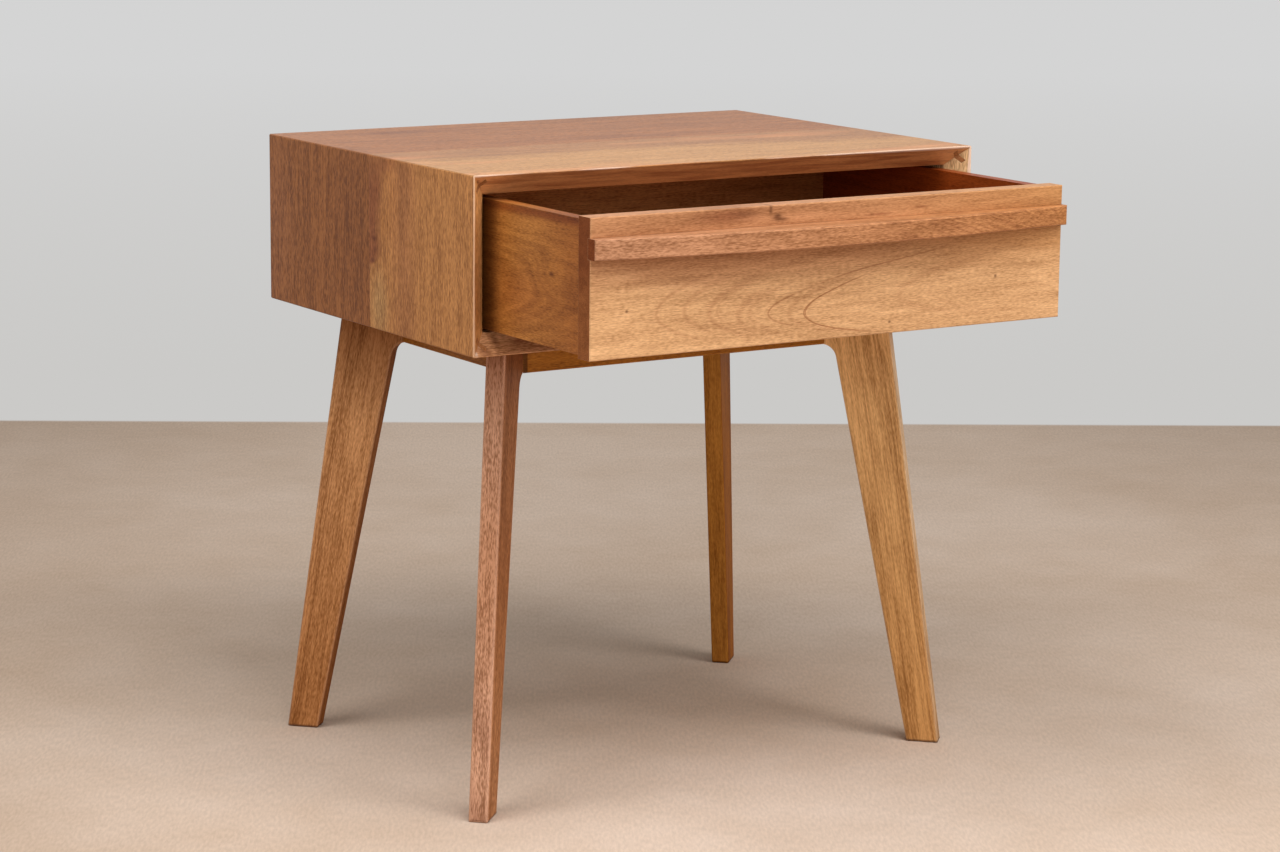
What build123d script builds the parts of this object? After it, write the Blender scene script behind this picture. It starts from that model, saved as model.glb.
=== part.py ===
from build123d import *
import os
from math import sqrt

# Bedside table in solid hardwood: a mitred case with one drawer, carried by four
# flat boards that stand on the diagonals of the case and splay outwards.
#
# Millimetres, +Z up, -Y towards the person who opens the drawer.
# The drawer is drawn pulled out by drawer_out, which is the rest position.
# The origin is on the floor, at the middle of the plan with the drawer out.

# ---------------------------------------------------------------- driving sizes

# Case
case_width = 550.0
case_depth = 404.0
case_height = 162.0
case_lift = 433.0            # floor to the underside of the case
board = 19.0                 # thickness of the case boards
front_flat = 1.0             # blunt front edge left by the bevel
corner_flat = 1.0            # size of the flat planed along each outer mitre edge
front_board_width = 196.0    # front board of each glued-up panel

# Back panel
panel_thickness = 6.0
panel_gap = 0.3              # room round the panel in its rebate
rebate_width = 9.5

# Splines that lock the mitres
spline_width = 14.0
spline_thickness = 4.0
spline_from_outside = 10.5   # outer face of the case to the middle of the spline
glue_gap = 0.05              # room for glue round a spline or a dowel

# Drawer in its opening
drawer_out = 181.0
front_thickness = 19.0
front_side_gap = 1.3
front_gap_below = 0.5        # drawer front above the case bottom
front_gap_above = 1.0
front_arris = 0.8
side_thickness = 12.0
side_inset = 1.0             # ends of the drawer front to the drawer sides
side_top_drop = 2.5          # top of the drawer front to the tops of the sides
back_thickness = 12.0
back_top_drop = 6.0          # tops of the sides to the top of the drawer back

# Drawer bottom
floor_thickness = 6.0
floor_lift = 10.0            # lower edges of the sides to the drawer bottom
floor_groove = 6.0           # depth of the grooves that hold the drawer bottom
floor_gap = 0.5              # room for the drawer bottom to swell
groove_gap = 0.1             # room above and below it in its groove

# Pull strip across the drawer front, with a bowed front edge
pull_height = 18.0
pull_proud = 8.0             # at its ends
pull_bow = 22.0              # how much further it stands out in the middle
pull_let_in = 4.0
pull_from_top = 17.7
pull_arris = 1.0

# Runners and stops
runner_height = 3.0
runner_width = 16.0
running_gap = 0.3            # drawer sides above their runners
runner_setback = 2.0         # behind the closed drawer front
stop_width = 24.0
stop_height = 20.0
stop_thickness = 7.5
stop_gap = 0.5               # between the closed drawer and its stops

# Legs
leg_thickness = 18.5
leg_inset = 11.0             # outer corner of the foot, in from each face of the case
foot_width = 31.5
leg_lean = 61.5              # how far the outer edge leans in over its height
leg_inner_lean = 0.206       # slope of the inner edge
crook_radius = 15.0
leg_arris = 1.5
foot_arris = 1.0
leg_past_rails = 6.0         # end of the leg beyond the inner faces of the rails

# Rails under the case
rail_inset = 91.0            # faces of the case to the outer faces of the rails
rail_thickness = 19.0
rail_height = 36.5
rail_arris = 1.0

# Dowels
rail_dowel_radius = 4.0
rail_dowel_bite = 12.0       # into each rail
rail_dowel_in = 14.0         # outer face of the rail to the middle of the dowel
rail_dowel_spacing = 17.0
drawer_dowel_radius = 3.0
drawer_dowel_length = 30.0
front_dowel_bite = 12.0      # into the drawer front
side_dowel_bite = 8.0        # into a drawer side, for the drawer back
drawer_dowel_margin = 16.0   # from the upper edge or the drawer bottom
dowels_per_joint = 3

# Screws
screw_gap = 0.05             # room round a screw in its hole
base_screw_length = 36.0
base_screw_radius = 2.25
base_screw_bite = 12.0       # into the underside of the case
base_screw_from_end = 50.0   # along each rail, from the end of its outer face
counterbore_radius = 5.0
panel_screw_length = 16.0
panel_screw_radius = 1.5
pull_screw_length = 25.0
pull_screw_radius = 1.75
pull_screw_count = 3
floor_screw_length = 25.0
floor_screw_radius = 1.5
floor_screw_count = 3
floor_screw_margin = 60.0    # outer screws of a row to the drawer sides
head_ratio = 2.0             # head radius over shank radius, for every screw
recess_depth_ratio = 0.8     # cross recess, from the shank radius
recess_width_ratio = 0.45

# ---------------------------------------------------------------- worked-out places

front_bevel = board - front_flat
plan_depth = pull_bow + pull_proud + drawer_out + case_depth - front_bevel
case_back = plan_depth / 2
case_front = case_back - case_depth
case_middle = case_back - case_depth / 2
case_bottom = case_lift
case_top = case_lift + case_height
seam = case_front + front_board_width

opening_half = case_width / 2 - board
opening_bottom = case_bottom + board
opening_top = case_top - board
panel_face = case_back - panel_thickness

closed_face = case_front + front_bevel
stop_front = panel_face - stop_thickness
face = closed_face - drawer_out                  # outer face of the drawer front
front_back = face + front_thickness
drawer_end = stop_front - stop_gap - drawer_out
front_half = opening_half - front_side_gap
front_bottom = opening_bottom + front_gap_below
front_top = opening_top - front_gap_above
side_outer = front_half - side_inset
side_inner = side_outer - side_thickness
side_bottom = opening_bottom + runner_height + running_gap
side_top = front_top - side_top_drop
floor_bottom = side_bottom + floor_lift
floor_top = floor_bottom + floor_thickness
back_face = drawer_end - back_thickness
back_top = side_top - back_top_drop
pull_top = front_top - pull_from_top
pull_bottom = pull_top - pull_height

runner_front = closed_face + front_thickness + runner_setback

rail_bottom = case_bottom - rail_height
rail_front_half = case_width / 2 - rail_inset
rail_side_half = case_depth / 2 - rail_inset
leg_cut = leg_thickness / 2 * sqrt(2)            # what half a leg takes off a rail's end

corners = {
    "front_left": (-1, -1),
    "front_right": (1, -1),
    "back_left": (-1, 1),
    "back_right": (1, 1),
}


# ---------------------------------------------------------------- helpers

def block(x, y, z):
    """A box from its low and high place along each axis."""
    spans = (x, y, z)
    size = [high - low for low, high in spans]
    centre = [(low + high) / 2 for low, high in spans]
    return Pos(*centre) * Box(*size)


def prism(points, plane, half_length):
    """A closed outline, drawn on a plane through the origin, thickened both ways."""
    outline = make_face(plane * Polyline(*points, close=True))
    return extrude(outline, half_length, both=True)


def rod(start, toward, radius, length):
    """A round bar from a start point along a direction."""
    ends = (Align.CENTER, Align.CENTER, Align.MIN)
    return Plane(start, z_dir=toward) * Cylinder(radius, length, align=ends)


def screw(head_centre, toward, radius, length):
    """A countersunk wood screw with a cross recess and a pointed end."""
    ends = (Align.CENTER, Align.CENTER, Align.MIN)
    head_radius = radius * head_ratio
    head_depth = head_radius - radius
    point = 2 * radius
    width = radius * recess_width_ratio
    depth = radius * recess_depth_ratio
    body = Cone(head_radius, radius, head_depth, align=ends)
    body += Pos(0, 0, head_depth) * Cylinder(radius, length - head_depth - point, align=ends)
    body += Pos(0, 0, length - point) * Cone(radius, radius / 4, point, align=ends)
    body -= Box(head_radius * 1.1, width, 2 * depth)
    body -= Box(width, head_radius * 1.1, 2 * depth)
    return Plane(head_centre, z_dir=toward) * body


def screw_hole(head_centre, toward, radius, length):
    """The countersunk hole that a screw of the same sizes sits in."""
    ends = (Align.CENTER, Align.CENTER, Align.MIN)
    head_radius = radius * head_ratio + screw_gap
    bore = radius + screw_gap
    hole = Cone(head_radius, bore, head_radius - bore, align=ends)
    hole += Cylinder(bore, length + screw_gap, align=ends)
    return Plane(head_centre, z_dir=toward) * hole


def evenly(low, high, count):
    """Places in a row, the first at low and the last at high."""
    if count == 1:
        return [(low + high) / 2]
    return [low + (high - low) * i / (count - 1) for i in range(count)]


def save(node, pieces):
    """Write one node. A group of alike pieces stays a group of separate solids."""
    shape = pieces if not isinstance(pieces, list) else Compound(children=pieces)
    export_step(shape, f"parts/{node}.step")


# ---------------------------------------------------------------- mitre splines

def mitre_bars(width, thickness):
    """Four bars across the four mitres of the case, in a room of any size."""
    reach_x = case_width / 2 - spline_from_outside
    reach_z = case_height / 2 - spline_from_outside
    middle_z = (case_bottom + case_top) / 2
    length = panel_face - case_front
    bars = []
    for sx in (-1, 1):
        for sz in (-1, 1):
            place = Pos(sx * reach_x, case_front + length / 2, middle_z + sz * reach_z)
            bars.append(place * Rot(0, 45 * sx * sz, 0) * Box(width, length, thickness))
    return bars


def bevelled_mouth():
    """The space that the 45 degree bevel leaves at the front of the case."""
    def rectangle(y, cut):
        plane = Plane((0, y, (case_bottom + case_top) / 2), x_dir=(1, 0, 0), z_dir=(0, -1, 0))
        return plane * Rectangle(case_width - 2 * cut, case_height - 2 * cut)
    return loft([rectangle(case_front, front_flat), rectangle(closed_face, board)])


# ---------------------------------------------------------------- case boards

def case_board(length, row):
    """One case board, outer face up at z = 0 and mitred at both ends."""
    if row == "front":
        section = [
            (case_front, 0),
            (case_front, -front_flat),
            (closed_face, -board),
            (seam, -board),
            (seam, 0),
        ]
    else:
        section = [
            (seam, 0),
            (seam, -board),
            (panel_face, -board),
            (panel_face, rebate_width - board),
            (case_back, rebate_width - board),
            (case_back, 0),
        ]
    half = length / 2
    ends = [
        (half - corner_flat, 0),
        (half - corner_flat / 2, -corner_flat / 2),
        (half - board, -board),
        (board - half, -board),
        (corner_flat / 2 - half, -corner_flat / 2),
        (corner_flat - half, 0),
    ]
    stick = prism(section, Plane.YZ, half)
    return stick & prism(ends, Plane.XZ, plan_depth)


def panel_screw_places():
    """Head centres on the back panel, over the middle of the ledge that holds it."""
    ledge = board - rebate_width / 2
    x_edge = case_width / 2 - ledge
    z_low = case_bottom + ledge
    z_high = case_top - ledge
    row = evenly(-x_edge * 0.75, x_edge * 0.75, 3)
    places = [(x, case_back, z) for z in (z_low, z_high) for x in row]
    places += [(x, case_back, (z_low + z_high) / 2) for x in (-x_edge, x_edge)]
    return places


def base_screw_places():
    """Head centres of the screws that hold the case down on the rails."""
    x_run = rail_front_half - leg_cut - base_screw_from_end
    y_run = rail_side_half - leg_cut - base_screw_from_end
    x_line = rail_front_half - rail_thickness / 2
    y_line = rail_side_half - rail_thickness / 2
    z = case_bottom + base_screw_bite - base_screw_length
    places = [(x, case_middle + y, z) for y in (-y_line, y_line) for x in (-x_run, x_run)]
    places += [(x, case_middle + y, z) for x in (-x_line, x_line) for y in (-y_run, y_run)]
    return places


def panel_screw_holes():
    return [screw_hole(p, (0, -1, 0), panel_screw_radius, panel_screw_length)
            for p in panel_screw_places()]


def base_screw_holes():
    return [screw_hole(p, (0, 0, 1), base_screw_radius, base_screw_length)
            for p in base_screw_places()]


def make_case():
    middle = (case_bottom + case_top) / 2
    sides = {
        "top": (case_width, Pos(0, 0, case_top)),
        "bottom": (case_width, Pos(0, 0, case_bottom) * Rot(0, 180, 0)),
        "left": (case_height, Pos(-case_width / 2, 0, middle) * Rot(0, -90, 0)),
        "right": (case_height, Pos(case_width / 2, 0, middle) * Rot(0, 90, 0)),
    }
    grooves = mitre_bars(spline_width + 2 * glue_gap, spline_thickness + 2 * glue_gap)
    for name, (length, place) in sides.items():
        for row in ("front", "rear"):
            piece = place * case_board(length, row)
            for groove in grooves:
                piece -= groove
            if row == "rear":
                for hole in panel_screw_holes():
                    piece -= hole
            if name == "bottom":
                for hole in base_screw_holes():
                    piece -= hole
            save(f"{name}_board_{row}", piece)
    mouth = bevelled_mouth()
    save("mitre_splines", [bar - mouth for bar in mitre_bars(spline_width, spline_thickness)])


def make_back_panel():
    reach = board - rebate_width + panel_gap
    panel = block(
        (reach - case_width / 2, case_width / 2 - reach),
        (panel_face, case_back),
        (case_bottom + reach, case_top - reach),
    )
    for hole in panel_screw_holes():
        panel -= hole
    save("back_panel", panel)
    save("back_panel_screws", [screw(p, (0, -1, 0), panel_screw_radius, panel_screw_length)
                               for p in panel_screw_places()])


def make_runners():
    x_far = opening_half
    for name, side in (("left", -1), ("right", 1)):
        x = sorted((side * x_far, side * (x_far - runner_width)))
        z = (opening_bottom, opening_bottom + runner_height)
        save(f"runner_{name}", block(x, (runner_front, stop_front), z))
        x = sorted((side * x_far, side * (x_far - stop_width)))
        z = (opening_bottom, opening_bottom + stop_height)
        save(f"drawer_stop_{name}", block(x, (stop_front, panel_face), z))


# ---------------------------------------------------------------- legs and rails

def leg():
    """One leg in its own plane: X runs inwards from the case corner, Z up."""
    foot_out = leg_inset * sqrt(2)
    foot_in = foot_out + foot_width
    top_out = foot_out + leg_lean
    top_in = foot_in + leg_inner_lean * rail_bottom
    end = (rail_inset + rail_thickness) * sqrt(2) + leg_thickness / 2 + leg_past_rails
    outline = make_face(Plane.XZ * Polyline(
        (foot_out, 0),
        (top_out, case_bottom),
        (end, case_bottom),
        (end, rail_bottom),
        (top_in, rail_bottom),
        (foot_in, 0),
        close=True,
    ))
    blank = extrude(outline, leg_thickness / 2, both=True)
    crook = blank.edges().filter_by(Axis.Y).sort_by_distance((top_in, 0, rail_bottom))[0]
    blank = fillet(crook, crook_radius)
    rims = ShapeList()
    for side in (-1, 1):
        y = side * leg_thickness / 2
        rims += blank.edges().filter_by_position(Axis.Y, y - 0.01, y + 0.01)
    rims = ShapeList([e for e in rims if e.center().Z < case_bottom - 0.01])
    rims = ShapeList([e for e in rims if e.center().X < end - 0.01 and e.center().Z > 0.01])
    blank = fillet(rims, leg_arris)
    sole = blank.faces().sort_by(Axis.Z)[0]
    return chamfer(sole.edges(), foot_arris)


def leg_place(sx, sy):
    """From the leg's own plane to one corner of the case."""
    turn = {(-1, -1): 45, (1, -1): 135, (-1, 1): -45, (1, 1): -135}[(sx, sy)]
    return Pos(sx * case_width / 2, case_middle + sy * case_depth / 2, 0) * Rot(0, 0, turn)


def leg_dowels(radius, bite):
    """Two dowels that cross one leg into both rails, in the leg's own plane."""
    x = (rail_inset + rail_dowel_in) * sqrt(2) + leg_thickness / 2
    middle = rail_bottom + rail_height / 2
    half = leg_thickness / 2 + bite
    heights = (middle - rail_dowel_spacing / 2, middle + rail_dowel_spacing / 2)
    return [rod((x, -half, z), (0, 1, 0), radius, 2 * half) for z in heights]


def rail(length):
    """One rail along X: outer face at y = 0, lower edge at z = 0, ends mitred."""
    section = [
        (0, rail_arris),
        (rail_arris, 0),
        (rail_thickness - rail_arris, 0),
        (rail_thickness, rail_arris),
        (rail_thickness, rail_height),
        (0, rail_height),
    ]
    half = length / 2
    plan = [
        (-half, 0),
        (half, 0),
        (half - rail_thickness, rail_thickness),
        (rail_thickness - half, rail_thickness),
    ]
    return prism(section, Plane.YZ, half) & prism(plan, Plane.XY, 2 * rail_height)


def make_base():
    bores = []
    dowels = []
    for name, (sx, sy) in corners.items():
        place = leg_place(sx, sy)
        cuts = [place * d for d in leg_dowels(rail_dowel_radius + glue_gap, rail_dowel_bite + glue_gap)]
        piece = place * leg()
        for cut in cuts:
            piece -= cut
        save(f"leg_{name}", piece)
        bores += cuts
        dowels += [place * d for d in leg_dowels(rail_dowel_radius, rail_dowel_bite)]
    save("rail_dowels", dowels)

    screw_heads = base_screw_places()
    for (x, y, z) in screw_heads:
        bores.append(rod((x, y, rail_bottom - 1), (0, 0, 1), counterbore_radius, z - rail_bottom + 1))
    bores += base_screw_holes()
    long_rail = 2 * (rail_front_half - leg_cut)
    short_rail = 2 * (rail_side_half - leg_cut)
    rails = {
        "front": (long_rail, Pos(0, case_middle - rail_side_half, rail_bottom)),
        "back": (long_rail, Pos(0, case_middle + rail_side_half, rail_bottom) * Rot(0, 0, 180)),
        "left": (short_rail, Pos(-rail_front_half, case_middle, rail_bottom) * Rot(0, 0, -90)),
        "right": (short_rail, Pos(rail_front_half, case_middle, rail_bottom) * Rot(0, 0, 90)),
    }
    for name, (length, place) in rails.items():
        piece = place * rail(length)
        for bore in bores:
            piece -= bore
        save(f"rail_{name}", piece)
    save("base_screws", [screw(p, (0, 0, 1), base_screw_radius, base_screw_length)
                         for p in screw_heads])


# ---------------------------------------------------------------- drawer

def joint_heights():
    """Heights of the dowels in the corners of the drawer."""
    low = floor_top + drawer_dowel_margin
    return evenly(low, back_top - drawer_dowel_margin, dowels_per_joint)


def front_dowels(gap):
    """Dowels from the drawer front into the front ends of the sides."""
    x = (side_outer + side_inner) / 2
    start = front_back - front_dowel_bite - gap
    length = drawer_dowel_length + 2 * gap
    return [rod((side * x, start, z), (0, 1, 0), drawer_dowel_radius + gap, length)
            for side in (-1, 1) for z in joint_heights()]


def back_dowels(gap):
    """Dowels from the sides into the ends of the drawer back."""
    y = back_face + back_thickness / 2
    start = side_inner + side_dowel_bite + gap
    length = drawer_dowel_length + 2 * gap
    return [rod((side * start, y, z), (-side, 0, 0), drawer_dowel_radius + gap, length)
            for side in (-1, 1) for z in joint_heights()]


def pull_screw_places():
    """Head centres of the pull's screws, on the inner face of the drawer front."""
    reach = side_inner - floor_screw_margin
    z = (pull_bottom + pull_top) / 2
    return [(x, front_back, z) for x in evenly(-reach, reach, pull_screw_count)]


def floor_screw_places():
    """Head centres of the screws from the drawer bottom up into the drawer back."""
    reach = side_inner - floor_screw_margin
    y = back_face + back_thickness / 2
    return [(x, y, floor_bottom) for x in evenly(-reach, reach, floor_screw_count)]


def pull_screw_holes():
    return [screw_hole(p, (0, -1, 0), pull_screw_radius, pull_screw_length)
            for p in pull_screw_places()]


def floor_screw_holes():
    return [screw_hole(p, (0, 0, 1), floor_screw_radius, floor_screw_length)
            for p in floor_screw_places()]


def pull_strip():
    """The pull: straight at the back, bowed along the front."""
    end = face - pull_proud
    back = face + pull_let_in
    bow = ThreePointArc((-front_half, end), (0, end - pull_bow), (front_half, end))
    rest = Polyline((front_half, end), (front_half, back), (-front_half, back), (-front_half, end))
    plan = make_face(bow.edges() + rest.edges())
    strip = Pos(0, 0, pull_bottom) * extrude(plan, pull_height, dir=(0, 0, 1))
    bowed = strip.faces().filter_by(GeomType.CYLINDER)[0]
    return chamfer(bowed.edges(), pull_arris)


def pull_groove():
    """The groove in the drawer front that the pull is let into."""
    return block(
        (-front_half - 1, front_half + 1),
        (face - 1, face + pull_let_in + glue_gap),
        (pull_bottom - glue_gap, pull_top + glue_gap),
    )


def make_drawer_front():
    front = block((-front_half, front_half), (face, front_back), (front_bottom, front_top))
    front = chamfer(front.faces().sort_by(Axis.Y)[0].edges(), front_arris)
    front -= pull_groove()
    front -= block(
        (-side_inner - floor_groove, side_inner + floor_groove),
        (front_back - floor_groove, front_back + 1),
        (floor_bottom - groove_gap, floor_top + groove_gap),
    )
    for hole in front_dowels(glue_gap) + pull_screw_holes():
        front -= hole
    save("drawer_front", front)

    pull = pull_strip()
    for hole in pull_screw_holes():
        pull -= hole
    save("drawer_pull", pull)
    save("pull_screws", [screw(p, (0, -1, 0), pull_screw_radius, pull_screw_length)
                         for p in pull_screw_places()])
    save("drawer_front_dowels", front_dowels(0))


def make_drawer_box():
    for name, side in (("left", -1), ("right", 1)):
        x = sorted((side * side_outer, side * side_inner))
        piece = block(x, (front_back, drawer_end), (side_bottom, side_top))
        x = sorted((side * (side_inner - 1), side * (side_inner + floor_groove)))
        z = (floor_bottom - groove_gap, floor_top + groove_gap)
        piece -= block(x, (front_back - 1, drawer_end + 1), z)
        for hole in front_dowels(glue_gap) + back_dowels(glue_gap):
            piece -= hole
        save(f"drawer_side_{name}", piece)

    back = block((-side_inner, side_inner), (back_face, drawer_end), (floor_top, back_top))
    for hole in back_dowels(glue_gap) + floor_screw_holes():
        back -= hole
    save("drawer_back", back)
    save("drawer_back_dowels", back_dowels(0))

    reach = side_inner + floor_groove - floor_gap
    tray = block(
        (-reach, reach),
        (front_back - floor_groove + floor_gap, drawer_end),
        (floor_bottom, floor_top),
    )
    for hole in floor_screw_holes():
        tray -= hole
    save("drawer_bottom", tray)
    save("drawer_bottom_screws", [screw(p, (0, 0, 1), floor_screw_radius, floor_screw_length)
                                  for p in floor_screw_places()])


os.makedirs("parts", exist_ok=True)
make_case()
make_back_panel()
make_runners()
make_base()
make_drawer_front()
make_drawer_box()
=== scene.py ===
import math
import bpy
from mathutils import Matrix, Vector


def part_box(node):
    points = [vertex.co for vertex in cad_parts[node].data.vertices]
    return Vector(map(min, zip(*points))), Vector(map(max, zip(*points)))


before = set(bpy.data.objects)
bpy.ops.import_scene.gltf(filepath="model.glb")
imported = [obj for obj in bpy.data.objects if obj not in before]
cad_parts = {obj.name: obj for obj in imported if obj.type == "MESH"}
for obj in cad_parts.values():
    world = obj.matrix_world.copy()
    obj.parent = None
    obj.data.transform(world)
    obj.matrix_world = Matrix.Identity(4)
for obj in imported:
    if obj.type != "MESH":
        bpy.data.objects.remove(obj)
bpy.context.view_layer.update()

# %% [markdown]
# The table is a mitred hardwood case with one drawer, on four splayed board legs.
# Its solids come from the CAD frame at their real size, so this script only gives
# them their finish. First we read the box of the case from its boards, and the places
# that the camera and the grain of each board are measured from.

MM = 0.001
top_front_low, top_front_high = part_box("top_board_front")
case_left, case_right = top_front_low.x, top_front_high.x
case_front, case_back = top_front_low.y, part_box("top_board_rear")[1].y
case_top = top_front_high.z
case_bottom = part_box("bottom_board_front")[0].z
seam = top_front_high.y
case_middle = (case_front + case_back) / 2
print("case", round(case_right - case_left, 3), "wide,", round(case_back - case_front, 3), "deep")

# %% [markdown]
# The camera stands to the left of the drawer, a little above the table top, with a
# long lens, so the upright edges stay nearly parallel. Its place and turn are given
# from the middle of the case. The turn is built from three directions: where the
# camera looks, what is right of it and what is above it.

# %% Camera
camera_from_case = Vector((-1.7042, -2.7252, 0.9281))
yaw, pitch, roll = (math.radians(angle) for angle in (32.45, 10.84, 0.57))
lens_mm = 93.41

looking = Vector((math.sin(yaw) * math.cos(pitch), math.cos(yaw) * math.cos(pitch), -math.sin(pitch)))
level_right = Vector((math.cos(yaw), -math.sin(yaw), 0))
level_up = level_right.cross(looking)
right = math.cos(roll) * level_right + math.sin(roll) * level_up
up = math.cos(roll) * level_up - math.sin(roll) * level_right

camera_data = bpy.data.cameras.new("camera")
camera_data.lens = lens_mm
camera_data.sensor_width = 36
camera = bpy.data.objects.new("camera", camera_data)
camera.matrix_world = Matrix((right, up, -looking)).transposed().to_4x4()
camera.location = camera_from_case + Vector((0, case_middle, 0))
bpy.context.scene.collection.objects.link(camera)
bpy.context.scene.camera = camera
print("camera", [round(c, 3) for c in camera.location])

# %% [markdown]
# Two small helpers serve every material. One turns a hex colour, as a paint chart
# or a colour picker gives it, to the linear numbers that Blender's shaders use. The
# other adds a node, sets it and links it, so that a material reads top to bottom.

# %% Colour and node helpers
def linear(hex_colour):
    """Linear colour from a hex value such as "c8965f"."""
    levels = [int(hex_colour[i:i + 2], 16) / 255 for i in (0, 2, 4)]
    return [v / 12.92 if v <= 0.04045 else ((v + 0.055) / 1.055) ** 2.4 for v in levels] + [1]


def add(tree, kind, inputs=(), **settings):
    """Add a node. Its inputs are values, sockets or nodes, by place or by name."""
    node = tree.nodes.new("ShaderNode" + kind)
    for name, value in settings.items():
        setattr(node, name, value)
    for key, value in inputs.items() if isinstance(inputs, dict) else enumerate(inputs):
        if isinstance(value, bpy.types.Node):
            value = value.outputs[0]
        if isinstance(value, bpy.types.NodeSocket):
            tree.links.new(value, node.inputs[key])
        elif value is not None:
            node.inputs[key].default_value = value
    return node


def new_material(name):
    """An empty node material and its node tree."""
    material = bpy.data.materials.new(name)
    material.use_nodes = True
    material.node_tree.nodes.clear()
    return material, material.node_tree


print("middle grey is", round(linear("808080")[0], 3), "in linear light")

# %% [markdown]
# The floor is one wide round sheet, so wide that it reaches the horizon in every
# view and no wall has to stand in the way of a camera behind the table. A square of
# warm beige cement lies under the table, turned to face the camera, and the plain
# pale ground beyond its edge reads as a wall. That ground is seen by the camera and
# in reflections as a flat pale grey, but it throws no extra light on the wood.

# %% Floor
floor_radius = 14.0
beige_half_side = 1.73
beige_turn = yaw - math.radians(1.8)
edge_softness = 0.012
bpy.ops.object.select_all(action="DESELECT")
bpy.ops.mesh.primitive_circle_add(vertices=96, radius=floor_radius, fill_type="NGON")
floor = bpy.context.object
floor.name = "studio_floor"

floor_finish, tree = new_material("trowelled_cement_floor")
point = add(tree, "TexCoord").outputs["Object"]
turned = add(tree, "Mapping", {"Vector": point, "Rotation": (0, 0, beige_turn)})
sides = add(tree, "VectorMath", (turned,), operation="ABSOLUTE")
sides = add(tree, "SeparateXYZ", (sides,)).outputs
from_middle = add(tree, "Math", (sides[0], sides[1]), operation="MAXIMUM")
outside = add(tree, "MapRange", (from_middle, beige_half_side, beige_half_side + edge_softness, 0, 1))
print("beige square", 2 * beige_half_side, "m a side")

# %% [markdown]
# Trowelled cement is never one colour: it has wide clouds where it dried unevenly,
# hand-sized smudges and a fine grit, drawn out the way the trowel went. Three sizes
# of noise give it those, each so faint that the floor still reads as plain. Clouds
# and smudges choose a place between a darker and a paler beige. The square is also
# painted a little paler far off, a painted light, and darker at one place near the
# front and at both sides, a painted shade; at the sides a multiply with a pale grey
# gives it.

# %% Cement colour
cloud_size = 0.45
smudge_size = 0.07
smudge_weight = 0.35


def floor_oval(tree, centre, size, core, middle, rim):
    """One value in the core of an oval of the floor, another from its rim on. Sizes in metres."""
    reach = add(tree, "Mapping", {"Vector": turned, "Location": (*centre, 0), "Scale": (*size, 1)},
                vector_type="TEXTURE")
    reach = add(tree, "VectorMath", (reach,), operation="LENGTH").outputs["Value"]
    value = add(tree, "MapRange", (reach, core, 1, middle, rim), interpolation_type="SMOOTHSTEP")
    return value.outputs["Result"]


cloud = add(tree, "TexNoise", {"Vector": point, "Scale": 1 / cloud_size, "Detail": 3}).outputs["Fac"]
smudge = add(tree, "TexNoise", {"Vector": turned, "Scale": 1 / smudge_size, "Detail": 2}).outputs["Fac"]
level = add(tree, "Math", (smudge, smudge_weight, cloud), operation="MULTIPLY_ADD")
depth = add(tree, "SeparateXYZ", (turned,)).outputs[1]
# painted light: the floor is made a little paler far off
painted_far_light = add(tree, "MapRange", (depth, 0.2, 1.6, 0, 0.2)).outputs["Result"]
level = add(tree, "Math", (level, painted_far_light), operation="ADD")
# painted shade: the floor is made darker at one place near the front
painted_near_shade = floor_oval(tree, (-0.75, -0.7), (0.8, 0.8), 0.2, 0.3, 0)
level = add(tree, "Math", (level, painted_near_shade), operation="SUBTRACT")
beige = add(tree, "MapRange", (level, 0.375, 0.975, 0, 1))
beige = add(tree, "Mix", {0: beige, 6: linear("c5ad98"), 7: linear("d8c4b4")}, data_type="RGBA").outputs[2]
# painted shade: the floor is made darker at both sides of the square
painted_side_shade = add(tree, "MapRange", (sides[0], 0.2, 0.9, 0, 1), interpolation_type="SMOOTHSTEP")
beige = add(tree, "Mix", {0: painted_side_shade, 6: beige, 7: linear("ebe9e7")}, data_type="RGBA", blend_type="MULTIPLY")
print("clouds", cloud_size, "m, smudges", smudge_size, "m")

# %% [markdown]
# The grit is a noise of small lumps that makes each spot up to a twelfth lighter or
# darker. Three large soft ovals change the brightness in the same way, as a painted
# shadow and light round the table: two paint the floor darker behind the table, and
# one paints it paler under the table, below the drawer. Real grit is finer than
# this, but finer grit would not show at all.

# %% Cement grit and painted shadow
trowel_mark = (0.0028, 0.012)
brushed = add(tree, "VectorMath", (turned, (1 / trowel_mark[0], 1 / trowel_mark[1], 0)), operation="MULTIPLY")
grit = add(tree, "TexNoise", {"Vector": brushed, "Scale": 1, "Detail": 2}).outputs["Fac"]
brightness = add(tree, "MapRange", (grit, 0.3, 0.7, 0.92, 1.08)).outputs["Result"]
# painted shadow and light: each oval multiplies the floor's brightness
for centre, size, change in (((0.04, 0.70), (0.90, 1.28), 0.79), ((0.05, 0.13), (0.38, 0.42), 1.36),
                             ((-0.10, 0.59), (1.15, 0.28), 0.88)):
    painted_light = floor_oval(tree, centre, size, 0, change, 1)
    brightness = add(tree, "Math", (brightness, painted_light), operation="MULTIPLY")
beige = add(tree, "VectorMath", {0: beige.outputs[2], "Scale": brightness}, operation="SCALE")
print("grit", trowel_mark[0] / MM, "by", trowel_mark[1] / MM, "mm")

# %% [markdown]
# Cement and ground are both matt: high roughness, weak specular. A Light Path node
# says what kind of ray asks. Rays that the viewer sees, directly or by reflection,
# get the flat grey from an Emission shader, and rays that only carry light get an
# ordinary matt grey, so the ground does not act as one more lamp.

# %% Floor shaders
matt_roughness = 0.85
matt_specular = 0.2


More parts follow.
